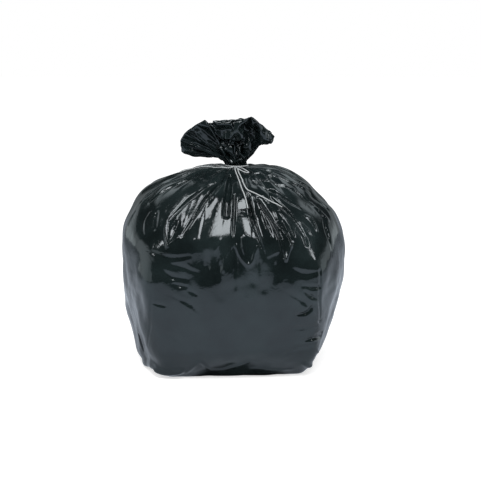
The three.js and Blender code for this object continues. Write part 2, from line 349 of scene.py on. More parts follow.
class Envelope:
    """The smooth outside of the filled body: level rings with their own left and right widths."""

    def __init__(self, sack):
        half_width, half_depth = sack.half_width, sack.half_depth
        rows = BODY_ROWS * (1.0, half_width, half_width)
        outline = np.column_stack((rows[:, 0], rows[:, 1:].mean(axis=1), rows[:, 1:]))
        meridian = smooth_curve(outline, 900, axes=2)
        self.z = meridian[:, 0]
        self.left = meridian[:, 2]
        self.right = meridian[:, 3]
        tuck = 1 - 0.16 * (1 - smooth_step(0.0, 0.07, meridian[:, 0]))
        self.depth = meridian[:, 1] * half_depth / half_width * tuck
        self.neck_x = sack.neck_x
        self.neck_z = sack.neck_z
        steps = np.hypot(np.diff(meridian[:, 0]), np.diff(meridian[:, 1]))
        self.run = np.concatenate(([0.0], np.cumsum(steps)))
        self.table_z = np.linspace(-0.02, 0.45, 941)
        rising = np.maximum.accumulate(self.z)
        self.table = np.stack([
            np.interp(self.table_z, rising, values) for values in (self.left, self.right, self.depth)
        ])

    def gauge(self, across, along, z):
        """How far out a place in a ring is, in half widths and depths: 1 on the ring. Low down the
        ring is mostly a polygon with rounded corners, made by a high mean of its faces' distances,
        and higher up a superellipse."""
        faces = [np.maximum(side * across + face * along, 0.0) ** CORNER_POWER for side, face in RING_FACES]
        polygon = sum(faces) ** (1 / CORNER_POWER)
        power = 2.6 - 0.3 * smooth_step(0.26, 0.36, z)
        round_ring = (np.abs(across) ** power + np.abs(along) ** power) ** (1 / power)
        share = 0.12 + 0.28 * smooth_step(0.0, 0.10, z) + 0.6 * smooth_step(0.20, 0.34, z)
        return polygon * (1 - share) + round_ring * share

    def shift(self, z):
        """Sideways place of a ring's middle: the shoulder leans towards the neck."""
        return self.neck_x * smooth_step(WIDEST_Z, self.neck_z, z)

    def twist(self, z):
        """Turn of a ring about the upright: the base stands a little askew."""
        return math.radians(5.0) * (1 - smooth_step(0.0, 0.2, z))

    def ring(self, run, angles):
        """Points at film lengths run (rows) and section angles (columns), as 3 x rows x columns."""
        z = np.interp(run, self.run, self.z)[:, None]
        left = np.interp(run, self.run, self.left)[:, None]
        right = np.interp(run, self.run, self.right)[:, None]
        depth = np.interp(run, self.run, self.depth)[:, None]
        across, along = np.cos(angles)[None], np.sin(angles)[None]
        reach = 1 / self.gauge(across, along, z)
        x = np.where(across < 0, left, right) * across * reach
        y = depth * along * reach
        turn = self.twist(z)
        turned_x = x * np.cos(turn) - y * np.sin(turn) + self.shift(z)
        turned_y = x * np.sin(turn) + y * np.cos(turn)
        return np.stack((turned_x, turned_y, np.broadcast_to(z, turned_x.shape)))

    def level(self, points):
        """How far out a point lies: 1 on the envelope, less inside."""
        z = points[2]
        place = np.clip((z + 0.02) / 0.0005, 0, self.table.shape[1] - 1).astype(int)
        left, right, depth = self.table[:, place]
        turn = -self.twist(z)
        flat_x, flat_y = points[0] - self.shift(z), points[1]
        x = flat_x * np.cos(turn) - flat_y * np.sin(turn)
        y = flat_x * np.sin(turn) + flat_y * np.cos(turn)
        return self.gauge(x / np.where(x < 0, left, right), y / depth, z)

    @staticmethod
    def pixels_of(points):
        """Picture pixels at which rows of points are seen."""
        place, sideways, upward, forward = camera_axes()
        away = points - place
        scale = CAMERA_DISTANCE / METRES_A_PIXEL / (away @ forward)
        return np.stack((
            PICTURE_WIDTH / 2 + away @ sideways * scale, PICTURE_HEIGHT / 2 - away @ upward * scale,
        ), axis=1)

    def seen_at(self, pixels):
        """Where the lines of sight through picture pixels first meet the envelope, as rows of
        points. A line of sight that misses it gives the place where it passes nearest."""
        place, sideways, upward, forward = camera_axes()
        across = (np.asarray(pixels, float)[:, :1] - PICTURE_WIDTH / 2) * METRES_A_PIXEL
        above = (PICTURE_HEIGHT / 2 - np.asarray(pixels, float)[:, 1:]) * METRES_A_PIXEL
        rays = forward * CAMERA_DISTANCE + sideways * across + upward * above
        far = np.linspace(0.85, 1.12, 1351)
        points = place[:, None, None] + rays.T[:, :, None] * far
        value = self.level(points) + 10.0 * (points[2] > self.z.max())
        inside = value < 1
        first = np.where(inside.any(axis=1), inside.argmax(axis=1), value.argmin(axis=1))
        return place + rays * far[first][:, None]


def even_angles(envelope, shares):
    """Section angles, from the back round by the left, at shares of the length of the widest ring."""
    angles = math.pi / 2 + np.linspace(0.0, 2 * math.pi, 4001)
    run = np.interp(WIDEST_Z, envelope.z[:600], envelope.run[:600])
    ring = envelope.ring(np.array([run]), angles)[:, 0]
    steps = np.linalg.norm(np.diff(ring, axis=1), axis=0)
    length = np.concatenate(([0.0], np.cumsum(steps)))
    return np.interp(shares * length[-1], length, angles)


def film_normals(points):
    """Unit normals of the grid, outward, from the crossed differences to the next points."""
    along = np.roll(points, -1, axis=2) - np.roll(points, 1, axis=2)
    upward = np.gradient(points, axis=1)
    normal = np.cross(along, upward, axis=0)
    return normal / (np.sqrt((normal * normal).sum(axis=0)) + TINY)


class Body:
    """The filled body's grid on the smooth envelope: even rows, and columns closer on the front."""

    def __init__(self, sack):
        self.sack = sack
        envelope = self.envelope = Envelope(sack)
        even = np.arange(COLUMNS) / COLUMNS
        self.shares = even + FRONT_CROWDING / (2 * math.pi) * np.sin(2 * math.pi * even)
        self.angles = even_angles(envelope, self.shares)
        height = envelope.run[-1]
        self.run = np.linspace(0.0, height, int(height / ROW_SPACING) + 1)
        self.z = np.interp(self.run, envelope.run, envelope.z)
        self.smooth = envelope.ring(self.run, self.angles)
        self.normals = film_normals(self.smooth)


class Pleats:
    """The folds that gather the girth: groove places as shares of the girth, the ridges between
    them, how deep each groove is and the height at which it ends."""

    def __init__(self, body, rng):
        envelope = body.envelope
        run = np.interp(SHOULDER_Z, envelope.z[:800], envelope.run[:800])
        shares = np.linspace(0.25, 0.75, 2001)
        front = envelope.ring(np.array([run]), even_angles(envelope, shares))[0, 0]
        placed = np.interp([x for x, *_ in FRONT_GROOVES], front, shares)
        gap = (placed[0] + 1 - placed[-1]) / (BACK_GROOVES + 1)
        jitter = rng.uniform(-0.32, 0.32, BACK_GROOVES)
        behind = (placed[-1] + gap * (np.arange(1, BACK_GROOVES + 1) + jitter)) % 1.0
        places = np.concatenate((placed, behind))
        _, front_sides, front_ends, front_depths = zip(*FRONT_GROOVES)
        sides = np.concatenate((front_sides, rng.choice((-1, 1), BACK_GROOVES)))
        ends = np.concatenate((front_ends, rng.uniform(0.22, 0.32, BACK_GROOVES)))
        depths = np.concatenate((front_depths, rng.uniform(0.006, 0.013, BACK_GROOVES)))
        order = np.argsort(places)
        self.grooves, self.ends, self.depths = places[order], ends[order], depths[order]
        self.skew = 0.5 + sides[order] * rng.uniform(0.26, 0.38, len(order))

    def ridges(self, gathering):
        """Shares of the ridges left and right of each groove. gathering runs from 0, where a pleat
        has one broad face and a narrow return, to 1 at the neck, where both are alike."""
        following = np.append(self.grooves[1:], self.grooves[0] + 1)
        skew = self.skew * (1 - gathering) + 0.5 * gathering
        after = self.grooves * (1 - skew) + following * skew
        return np.append(after[-1] - 1, after[:-1]), after

    def phase(self, shares, gathering):
        """How deep each column lies in its pleat, 0 on the ridge to 1 in the groove."""
        before, after = self.ridges(gathering)
        total = np.zeros(len(shares))
        for groove, left, right in zip(self.grooves, before, after):
            offset = (shares - groove + 0.5) % 1.0 - 0.5
            reach = np.where(offset < 0, groove - left, right - groove)
            total += np.clip(1 - np.abs(offset) / reach, 0.0, 1.0)
        return total

    def heights(self, body):
        """Heights over the smooth film: each groove is a valley with straight sides up to its
        ridges, which narrows and ends at its own height."""
        height = np.zeros(body.smooth.shape[1:])
        before, after = self.ridges(0.0)
        for groove, left, right, end, depth in zip(self.grooves, before, after, self.ends, self.depths):
            offset = (body.shares - groove + 0.5) % 1.0 - 0.5
            reach = np.where(offset < 0, groove - left, right - groove)[None]
            grown = smooth_step(end, end + 0.09, body.z)[:, None]
            valley = np.clip(1 - np.abs(offset)[None] / (0.6 * reach * (0.3 + 0.7 * grown)), 0.0, 1.0)
            height -= depth * np.sqrt(grown) * valley
        return height * (1 - 0.5 * smooth_step(0.39, 0.42, body.z))[:, None]


def waves(points, rng, lengths):
    """Uneven heights from -1 to 1 at points in space: a sum of 40 waves of lengths between two limits."""
    total = np.zeros(points.shape[1:])
    for _ in range(40):
        direction = rng.normal(size=3)
        wave = 2 * math.pi / rng.uniform(*lengths) * direction / np.linalg.norm(direction)
        total += np.cos(np.tensordot(wave, points, axes=1) + rng.uniform(0.0, 2 * math.pi))
    return total / np.abs(total).max()


def near_line(points, line):
    """For each point: its distance from a line of points, and how far along the line it is nearest,
    from 0 to 1."""
    start, step = line[:-1], np.diff(line, axis=0)
    away = points[None] - start[:, :, None]
    along = np.clip((away * step[:, :, None]).sum(axis=1) / (step * step).sum(axis=1)[:, None], 0.0, 1.0)
    gap = away - step[:, :, None] * along[:, None]
    nearest = (gap * gap).sum(axis=1).argmin(axis=0)
    pick = np.arange(points.shape[1])
    gap = gap[nearest, :, pick].T
    distance = np.sqrt((gap * gap).sum(axis=0)) + TINY
    return distance, (nearest + along[nearest, pick]) / len(step)


def fold_height(distance, share, fold):
    """Height of a fold over the smooth film: a round-bottomed valley with a narrow rim on each
    side, or a ridge with a narrow crest where the depth is negative."""
    places = (0.0, 0.5, 1.0)
    width = np.interp(share, places, fold.width) / 1000
    depth = np.interp(share, places, fold.depth) / 1000
    within = np.clip(1 - distance / width, 0.0, 1.0)
    wall = np.where(depth > 0, within * (2 - within), within**1.3)
    rim = fold.lip / 1000 * np.exp(-((distance - width) / 0.0022) ** 2)
    return rim - depth * wall


def carved(body, folds):
    """Heights over the smooth film of all the folds together."""
    height = np.zeros(body.smooth.shape[1:])
    for fold in folds:
        line = smooth_curve(body.envelope.seen_at(fold.line), 24)
        reach = max(fold.width) / 1000 + 0.008
        low, high = line.min(axis=0) - reach, line.max(axis=0) + reach
        inside = (body.smooth > low[:, None, None]) & (body.smooth < high[:, None, None])
        near = inside.all(axis=0)
        distance, share = near_line(body.smooth[:, near], line)
        height[near] += fold_height(distance, share, fold)
    return height


def gathers(body, rng):
    """Heights of the many small pleats round the neck: uneven V-shaped valleys, deeper towards it."""
    count = 30
    grooves = np.sort((np.arange(count) + rng.uniform(-0.35, 0.35, count)) / count % 1.0)
    strength = rng.uniform(0.3, 1.0, count)
    ends = rng.uniform(0.35, 0.395, count)
    spread = np.abs((body.shares[None] - grooves[:, None] + 0.5) % 1.0 - 0.5) * count
    radius = np.hypot(body.smooth[0, :, 0] - body.sack.neck_x, body.smooth[1, :, 0])
    height = np.zeros(body.smooth.shape[1:])
    for groove in range(count):
        fade = smooth_step(ends[groove], ends[groove] + 0.05, body.z) * strength[groove]
        valley = np.clip(1 - spread[groove] / 0.55, 0.0, 1.0)
        height -= (0.006 * fade * smooth_step(0.02, 0.10, radius))[:, None] * valley
    return height


def body_film(body, pleats, rng):
    """The film of the filled body: the smooth envelope with pleats, gathers and folds, closing into
    the neck. The front's pleats are faint, because its folds are placed one by one."""
    sack = body.sack
    height = pleats.heights(body) * (0.08 + 0.92 * smooth_step(-0.10, 0.02, body.smooth[1]))
    height += 0.0045 * waves(body.smooth, rng, (0.05, 0.14))
    fine = 0.0012 * waves(body.smooth, rng, (0.02, 0.05))
    height += fine * (1 - smooth_step(0.20, 0.30, body.z))[:, None]
    height += gathers(body, rng)
    height += carved(body, CHANNELS)
    height = np.clip(height, -0.03, 0.014)
    points = body.smooth + body.normals * height
    np.maximum(points[2], FLOOR_GAP, out=points[2])
    tied = pleats.phase(body.shares, 1.0)
    closing = body.run[-1] - body.run
    blend = (1 - smooth_step(0.0, 0.06, closing))[None, :, None] ** 2
    star = neck_star(sack, body.shares, tied, 1.1, sack.neck_z - TIE_HALF)[:, None]
    points += blend * (star - points)
    points = settle_body(body, points, 16)
    points += body.normals * carved(body, RIDGES + CREASES + HEM)
    for _ in range(4):
        Springs.stiffen(points, 0.2)
    return points


def settle_body(body, points, rounds):
    """Lets the folded film come to rest under a push outwards from what fills it, at the lengths
    that it has."""
    springs = Springs(points)
    top, foot = points[:, -1].copy(), points[:, 0].copy()
    limit = ((points - body.smooth) * body.normals).sum(axis=0) + 0.0025
    before = points.copy()
    push = 0.00002 * (1 - smooth_step(0.36, 0.41, body.z))[:, None]
    for _ in range(rounds):
        drift = 0.9 * (points - before)
        before = points.copy()
        points += drift + film_normals(points) * push
        springs.pull(points)
        springs.stiffen(points, 0.004)
        beyond = ((points - body.smooth) * body.normals).sum(axis=0) - limit
        points -= body.normals * np.maximum(beyond, 0.0)
        points[:, -1], points[:, 0] = top, foot
        np.maximum(points[2], FLOOR_GAP, out=points[2])
    return points


def neck_star(sack, shares, phase, radius_share, z):
    """A ring of the tied neck: a star whose points are the ridges and whose hollows are the grooves."""
    angles = math.pi / 2 + 2 * math.pi * shares
    radius = sack.neck_radius * radius_share * (1 - 0.86 * phase)
    return np.stack((
        sack.neck_x + radius * np.cos(angles), radius * np.sin(angles), np.full(len(shares), z),
    ))


def pair_shift(first, second, rest, stretch, squeeze):
    """How far the first point of each pair moves towards the second, to come nearer to the pair's
    rest length."""
    gap = second - first
    length = np.sqrt((gap * gap).sum(axis=0)) + TINY
    over = length - rest
    return gap * (np.where(over > 0, stretch, squeeze) * over / length * 0.5)


class Springs:
    """Rest lengths of a film's grid: round each ring, up each column and both ways across each cell."""

    def __init__(self, points):
        after = np.roll(points, -1, axis=2)
        self.round = np.linalg.norm(after - points, axis=0)
        self.upright = np.linalg.norm(points[:, 1:] - points[:, :-1], axis=0)
        self.rising = np.linalg.norm(after[:, 1:] - points[:, :-1], axis=0)
        self.falling = np.linalg.norm(points[:, 1:] - after[:, :-1], axis=0)

    def pull(self, points):
        """Draws the film towards its lengths, every second pair at a time, stretch more firmly than
        squeeze."""
        for start in (0, 1):
            first, second = points[:, :, start::2], np.roll(points, -1, axis=2)[:, :, start::2]
            shift = pair_shift(first, second, self.round[:, start::2], 1.0, 0.8)
            points[:, :, start::2] += shift
            points[:, :, (np.arange(start, points.shape[2], 2) + 1) % points.shape[2]] -= shift
        for start in (0, 1):
            low, high = points[:, start:-1:2], points[:, start + 1::2]
            shift = pair_shift(low, high, self.upright[start::2], 1.0, 0.5)
            low += shift
            high -= shift
            shift = pair_shift(low, np.roll(high, -1, axis=2), self.rising[start::2], 0.5, 0.3)
            low += shift
            high -= np.roll(shift, 1, axis=2)
            shift = pair_shift(np.roll(low, -1, axis=2), high, self.falling[start::2], 0.5, 0.3)
            low += np.roll(shift, 1, axis=2)
            high -= shift

    @staticmethod
    def stiffen(points, strength):
        """Resists bending: each point is drawn towards the middle of its neighbours, round and up."""
        middle = (np.roll(points, 1, axis=2) + np.roll(points, -1, axis=2)) / 2
        bend = middle - points
        bend[:, 1:-1] += (points[:, 2:] + points[:, :-2]) / 2 - points[:, 1:-1]
        points[:, 1:-1] += strength * bend[:, 1:-1]


def refined(points):
    """The grid with a new point half way between each two, round the girth and up the rows."""
    wide = np.repeat(points, 2, axis=2)
    wide[:, :, 1::2] = (points + np.roll(points, -1, axis=2)) / 2
    tall = np.repeat(wide, 2, axis=1)[:, :-1]
    tall[:, 1::2] = (wide[:, :-1] + wide[:, 1:]) / 2
    return tall


def rim_line(columns):
    """The cut edge as a closed line through the rim's points, with the columns spread evenly along it."""
    closed = np.vstack((RIM, RIM[:1]))
    length = np.concatenate(([0.0], np.cumsum(np.linalg.norm(np.diff(closed, axis=0), axis=1))))
    where = np.arange(columns) / columns * length[-1]
    return np.stack([np.interp(where, length, closed[:, axis]) for axis in range(3)])


def settle_mouth(sack, points, rim, rounds):
    """Lets the mouth's film come to rest between the neck's ring, which is held, and its cut edge,
    which is drawn towards its line: damped steps, then the film's lengths round and up, its shear
    and its stiffness."""
    rows, columns = points.shape[1:]
    girth = 2 * sack.flat_width
    share = np.linspace(0.0, 1.0, rows)
    step = sack.mouth_length / (rows - 1)
    springs = Springs(points)
    springs.round[:] = ((girth - (girth - 1.06) * smooth_step(0.0, 0.45, share)) / columns)[:, None]
    springs.upright[:] = step
    springs.rising[:] = springs.falling[:] = np.hypot(step, (springs.round[1:] + springs.round[:-1]) / 2)
    neck = points[:, 0].copy()
    before = points.copy()
    for _ in range(rounds):
        drift = 0.92 * (points - before)
        before = points.copy()
        points += drift
        springs.pull(points)
        springs.pull(points)
        springs.stiffen(points, 0.03)
        points[:, 0] = neck
        points[:, -1] += 0.1 * (rim - points[:, -1])
    return points


def mouth_film(sack, shares, pleats):
    """The crumpled film above the tie, from the neck's ring up to the cut edge: a ruled surface with
    waves that is settled on a coarse grid and again on one twice as fine, then given small waves."""
    coarse = COLUMNS // 2
    even = np.arange(coarse) / coarse
    collar = neck_star(sack, even, pleats.phase(even, 1.0), 1.0, sack.neck_z + TIE_HALF)
    climb = np.linspace(0.0, 1.0, MOUTH_ROWS // 2 + 1)[None, :, None]
    points = collar[:, None] * (1 - climb) + rim_line(coarse)[:, None] * climb
    rng = np.random.default_rng(MOUTH_SEED)
    points += film_normals(points) * 0.013 * climb * waves(points, rng, (0.03, 0.08))
    points = settle_mouth(sack, np.ascontiguousarray(points), rim_line(coarse), 260)
    points = settle_mouth(sack, np.ascontiguousarray(refined(points)), rim_line(COLUMNS), 90)
    rise = np.linspace(0.0, 1.0, points.shape[1])[:, None]
    rng = np.random.default_rng(CRUMPLE_SEED)
    points += film_normals(points) * 0.004 * rise * waves(points, rng, (0.015, 0.04))
    closed = np.concatenate((points, points[:, :, :1]), axis=2)
    place = shares * COLUMNS
    low = np.minimum(place.astype(int), COLUMNS - 1)
    part = place - low
    return closed[:, :, low] * (1 - part) + closed[:, :, low + 1] * part


def grid_faces(points):
    """Points and faces of a closed skin over a grid 3 x rows x columns: quads between the rings and
    a fan of triangles at each end."""
    rows, columns = points.shape[1:]
    rings = points.reshape(3, -1).T
    low, high = points[:, 0].mean(axis=1), points[:, -1].mean(axis=1)
    vertices = np.vstack((rings, low, high))
    i = np.arange(columns)
    after = (i + 1) % columns
    start = (np.arange(rows - 1) * columns)[:, None]
    quads = np.stack((start + i, start + after, start + columns + after, start + columns + i), axis=-1)
    bottom = np.stack((np.full(columns, rows * columns), after, i), axis=-1)
    last = (rows - 1) * columns
    top = np.stack((np.full(columns, rows * columns + 1), last + i, last + after), axis=-1)
    return vertices.tolist(), quads.reshape(-1, 4).tolist() + bottom.tolist() + top.tolist()


def grid_mesh(name, points):
    """A smooth-shaded mesh of the closed skin over a grid."""
    vertices, faces = grid_faces(points)
    mesh = bpy.data.meshes.new(name)
    mesh.from_pydata(vertices, [], faces)
    mesh.update()
    mesh.shade_smooth()
    return mesh


def film_surface(sack):
    """The whole closed skin: base, body, tied neck, mouth up to its cut edge, and the mouth's inner
    side back down to the neck."""
    rng = np.random.default_rng(BODY_SEED)
    body = Body(sack)
    pleats = Pleats(body, rng)
    film = body_film(body, pleats, rng)
    edge = film[:, :1]
    centre = np.array([0.0, 0.0, FLOOR_GAP])[:, None, None]
    share = np.linspace(0.0, 1.0, BASE_ROWS + 1)[1:-1][None, :, None]
    base = centre * (1 - share) + edge * share
    base[2] = FLOOR_GAP
    tied = pleats.phase(body.shares, 1.0)
    heights = sack.neck_z - TIE_HALF + 2 * TIE_HALF * np.arange(1, NECK_ROWS) / NECK_ROWS
    neck = np.stack([neck_star(sack, body.shares, tied, 1.0, z) for z in heights], axis=1)
    mouth = mouth_film(sack, body.shares, pleats)
    inner = mouth - FILM_GAP * film_normals(mouth)
    return np.concatenate((base, film, neck, mouth, inner[:, ::-1]), axis=1)


def film_material(sack):
    """Glossy thin black film, with fine uneven wrinkles and patches scuffed to a duller gloss."""
    material = bpy.data.materials.new("black_film")
    material.use_nodes = True
    nodes, links = material.node_tree.nodes, material.node_tree.links
    shader = nodes["Principled BSDF"]
    shader.inputs["IOR"].default_value = 1.5
    shader.inputs["Specular Tint"].default_value = (0.9, 0.96, 1.0, 1.0)
    coordinates = nodes.new("ShaderNodeTexCoord")
    scuffs = nodes.new("ShaderNodeTexNoise")
    scuffs.inputs["Scale"].default_value = 14.0
    scuffs.inputs["Detail"].default_value = 6.0
    links.new(coordinates.outputs["Object"], scuffs.inputs["Vector"])
    dulled = ranged(nodes, links, scuffs.outputs["Fac"], (0.35, 0.7), (0.07, 0.17))
    links.new(dulled, shader.inputs["Roughness"])
    dust = nodes.new("ShaderNodeValToRGB")
    dust.color_ramp.elements[0].position = 0.35
    dust.color_ramp.elements[0].color = (*(0.5 * part for part in sack.film_colour), 1.0)
    dust.color_ramp.elements[1].position = 0.75
    dust.color_ramp.elements[1].color = (*(1.5 * part for part in sack.film_colour), 1.0)
    links.new(scuffs.outputs["Fac"], dust.inputs["Fac"])
    links.new(dust.outputs["Color"], shader.inputs["Base Color"])
    wrinkles = nodes.new("ShaderNodeTexNoise")
    wrinkles.inputs["Scale"].default_value = 30.0
    wrinkles.inputs["Detail"].default_value = 4.0
    wrinkles.inputs["Distortion"].default_value = 1.5
    links.new(coordinates.outputs["Object"], wrinkles.inputs["Vector"])
    bump = nodes.new("ShaderNodeBump")
    bump.inputs["Strength"].default_value = 0.5
    bump.inputs["Distance"].default_value = 0.0014
    links.new(wrinkles.outputs["Fac"], bump.inputs["Height"])
    links.new(bump.outputs["Normal"], shader.inputs["Normal"])
    return material


class SACK_OT_film(bpy.types.Operator):
    """Builds the pleated film of the filled sack."""

    bl_idname = "refuse_sack.film"
    bl_label = "Film"

    def execute(self, context):
        sack = context.scene.refuse_sack
        mesh = grid_mesh("sack_film", film_surface(sack))
        piece = bpy.data.objects.new("sack_film", mesh)
        context.scene.collection.objects.link(piece)
        mesh.materials.append(film_material(sack))
        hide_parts("sack")
        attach(piece, "root")
        return {"FINISHED"}


def seated(line, film_tree, smooth_tree, radius, returns):
    """The line laid on the film: each point goes to the film along the body's own slope, then the
    line is lifted so that it spans the grooves in curves of at least 30 mm radius. Its start, and
    the end of a loop that returns, go to the knot."""
    heights, outward, feet = [], [], []
    for point in line:
        foot, normal, _, _ = smooth_tree.find_nearest(point)
        hit, _, _, _ = film_tree.ray_cast(foot + normal * 0.012, -normal, 0.05)
        heights.append(0.0 if hit is None else (hit - foot).dot(normal))
        outward.append(normal)
        feet.append(foot)
    heights, outward, feet = np.array(heights), np.array(outward), np.array(feet)
    run = np.concatenate(([0.0], np.cumsum(np.linalg.norm(np.diff(line, axis=0), axis=1))))
    spanned = (heights[None] - (run[:, None] - run[None]) ** 2 / 0.06).max(axis=1)
    laid = feet + outward * (spanned + radius)[:, None]
    near_start = smooth_step(0.004, 0.014, run)[:, None]
    laid = (KNOT + 0.002 * outward) * (1 - near_start) + laid * near_start
    if not returns:
        return laid
    near_end = smooth_step(0.004, 0.014, run[-1] - run)[:, None]
    return (KNOT + 0.002 * outward) * (1 - near_end) + laid * near_end


def rope_points(line, radius, lay):
    """A tube of three twisted strands along a line, as an array 3 x places x columns: at each place
    a ring round the line's direction whose radius swells three times, turning once in each lay."""
    along = np.gradient(line, axis=0)
    along /= np.linalg.norm(along, axis=1, keepdims=True)
    upward = np.array([0.25, 0.15, 0.95])
    first = upward - along * (along @ upward)[:, None]
    first /= np.linalg.norm(first, axis=1, keepdims=True)
    second = np.cross(along, first)
    run = np.concatenate(([0.0], np.cumsum(np.linalg.norm(np.diff(line, axis=0), axis=1))))
    angle = np.linspace(0.0, 2 * math.pi, 18, endpoint=False)[None]
    swell = radius * (0.84 + 0.16 * np.abs(np.cos(1.5 * (angle - 2 * math.pi * run[:, None] / lay))))
    ring = first[:, None] * np.cos(angle)[..., None] + second[:, None] * np.sin(angle)[..., None]
    return (line[:, None] + ring * swell[..., None]).transpose(2, 0, 1)


def even_line(points, step):
    """The curve through the points with places a step apart."""
    curve = smooth_curve(points, 400)
    length = np.linalg.norm(np.diff(curve, axis=0), axis=1).sum()
    return smooth_curve(points, int(length / step) + 1)


def neck_turn(sack, radius):
    """The string's turn round the neck: a level ring outside the gathered film, from one side of
    the knot round the back to the other."""
    angle = np.linspace(-0.5 * math.pi - 0.1, -2.5 * math.pi + 0.1, 160)
    reach = sack.neck_radius + 0.0004 + radius
    x, y = sack.neck_x + reach * np.cos(angle), reach * np.sin(angle)
    return np.stack((x, y, np.full(len(angle), sack.neck_z)), axis=1)


def knot_wraps():
    """The knot: two and a half close wraps round a level line across the front of the neck."""
    share = np.linspace(0.0, 1.0, 120)
    angle = 2 * math.pi * 2.5 * share
    x, y, z = 0.0075 * (share - 0.5), 0.0021 * np.cos(angle), 0.0024 * np.sin(angle)
    return KNOT + np.stack((x, y, z), axis=1)


def string_material(settings):
    """Pale twisted fibres: fine streaks along the string, with a little sheen."""
    material = bpy.data.materials.new("pale_string")
    material.use_nodes = True
    nodes, links = material.node_tree.nodes, material.node_tree.links
    shader = nodes["Principled BSDF"]
    shader.inputs["Roughness"].default_value = 0.6
    coordinates = nodes.new("ShaderNodeTexCoord")
    noise = nodes.new("ShaderNodeTexNoise")
    noise.inputs["Scale"].default_value = 900.0
    noise.inputs["Detail"].default_value = 3.0
    links.new(coordinates.outputs["Object"], noise.inputs["Vector"])
    ramp = nodes.new("ShaderNodeValToRGB")
    ramp.color_ramp.elements[0].position = 0.3
    ramp.color_ramp.elements[0].color = (*(0.55 * part for part in settings.colour), 1.0)
    ramp.color_ramp.elements[1].position = 0.7
    ramp.color_ramp.elements[1].color = (*(0.95 * part for part in settings.colour), 1.0)
    links.new(noise.outputs["Fac"], ramp.inputs["Fac"])
    links.new(ramp.outputs["Color"], shader.inputs["Base Color"])
    return material


class SACK_OT_string(bpy.types.Operator):
    """Builds the string: its turn round the neck, its knot, and its loops and tails on the film."""

    bl_idname = "refuse_sack.string"
    bl_label = "String"

    def add(self, context, name, line, material):
        """One run of string along a line, as a closed tube."""
        settings = context.scene.refuse_sack_string
        mesh = grid_mesh(name, rope_points(line, settings.diameter / 2, settings.lay))
        mesh.materials.append(material)
        piece = bpy.data.objects.new(name, mesh)
        context.scene.collection.objects.link(piece)
        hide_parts("tie_string")
        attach(piece, "root")
        return piece

    def execute(self, context):
        sack, settings = context.scene.refuse_sack, context.scene.refuse_sack_string
        radius = settings.diameter / 2
        material = string_material(settings)
        self.add(context, "neck_turn", neck_turn(sack, radius), material)
        self.add(context, "knot", knot_wraps(), material)
        film = context.scene.objects["sack_film"]
        film_tree = BVHTree.FromObject(film, context.evaluated_depsgraph_get())
        body = Body(sack)
        smooth_tree = BVHTree.FromPolygons(*grid_faces(body.smooth[:, ::3, ::3]))
        for name, route in STRING_ROUTES.items():
            line = even_line(np.array(route) / 1000, 0.001)
            if name != "left_loop":
                line = body.envelope.seen_at(body.envelope.pixels_of(line))
            line = seated(line, film_tree, smooth_tree, radius, name.endswith("loop"))
            kept = np.linspace(0, len(line) - 1, max(8, len(line) // 11)).astype(int)
            line = even_line(line[kept], 0.001)
            piece = self.add(context, name, line, material)
        return {"FINISHED"}


def studio_camera(context):
    """A camera at the photograph's angle, moved sideways and up so that the sack stands where it
    does there."""
    data = bpy.data.cameras.new("camera")
    data.sensor_width = 36.0
    data.lens = data.sensor_width * CAMERA_DISTANCE / (PICTURE_HEIGHT * METRES_A_PIXEL)
    camera = bpy.data.objects.new("camera", data)
    camera.location = camera_axes()[0]
    camera.rotation_euler = (math.pi / 2 - CAMERA_ELEVATION, 0.0, 0.0)
    context.scene.collection.objects.link(camera)
    context.scene.camera = camera


def ranged(nodes, links, value, source, target):
    """A node output that carries value from one range to another along an S-shaped rise."""
    node = nodes.new("ShaderNodeMapRange")
    node.interpolation_type = "SMOOTHSTEP"
    node.inputs["From Min"].default_value, node.inputs["From Max"].default_value = source
    node.inputs["To Min"].default_value, node.inputs["To Max"].default_value = target
    links.new(value, node.inputs["Value"])
    return node.outputs["Result"]


def product(nodes, links, first, second):
    """A node output that multiplies two others."""
    node = nodes.new("ShaderNodeMath")
    node.operation = "MULTIPLY"
    links.new(first, node.inputs[0])
    links.new(second, node.inputs[1])
    return node.outputs[0]


def total(nodes, links, first, second):
    """A node output that adds two others."""
    node = nodes.new("ShaderNodeMath")
    node.operation = "ADD"
    links.new(first, node.inputs[0])
    links.new(second, node.inputs[1])
    return node.outputs[0]


